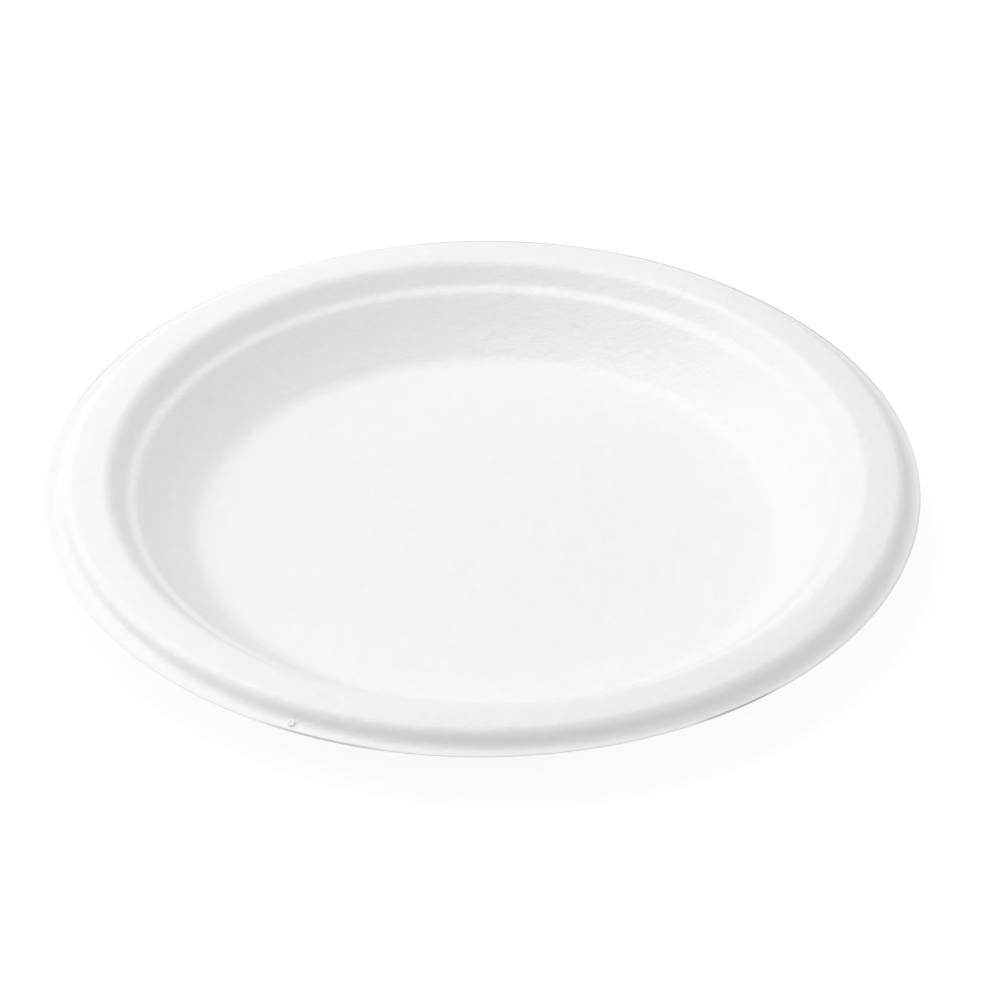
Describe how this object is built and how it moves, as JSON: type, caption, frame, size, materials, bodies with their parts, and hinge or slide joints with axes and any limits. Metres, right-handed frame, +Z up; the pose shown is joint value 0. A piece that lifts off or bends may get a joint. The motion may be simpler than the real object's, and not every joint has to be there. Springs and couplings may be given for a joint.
{
  "type": "disposable plate",
  "caption": "Round shallow disposable plate formed from one sheet of moulded fibre, with a sloping wall, small stacking ledge, broad arched rim and narrow trimmed flange.",
  "frame": {"origin": "centre of the round face that the plate stands on", "axes": "+Z up along the plate's axis, out of the dish; +X to the right in the picture, -Y towards its viewer"},
  "size_m": [0.23, 0.2299, 0.0185],
  "materials": {
    "moulded_fibre": "matt, with a faint cloudy fibre grain"
  },
  "bodies": {
    "root": {"plate": "moulded_fibre"}
  },
  "joints": []
}
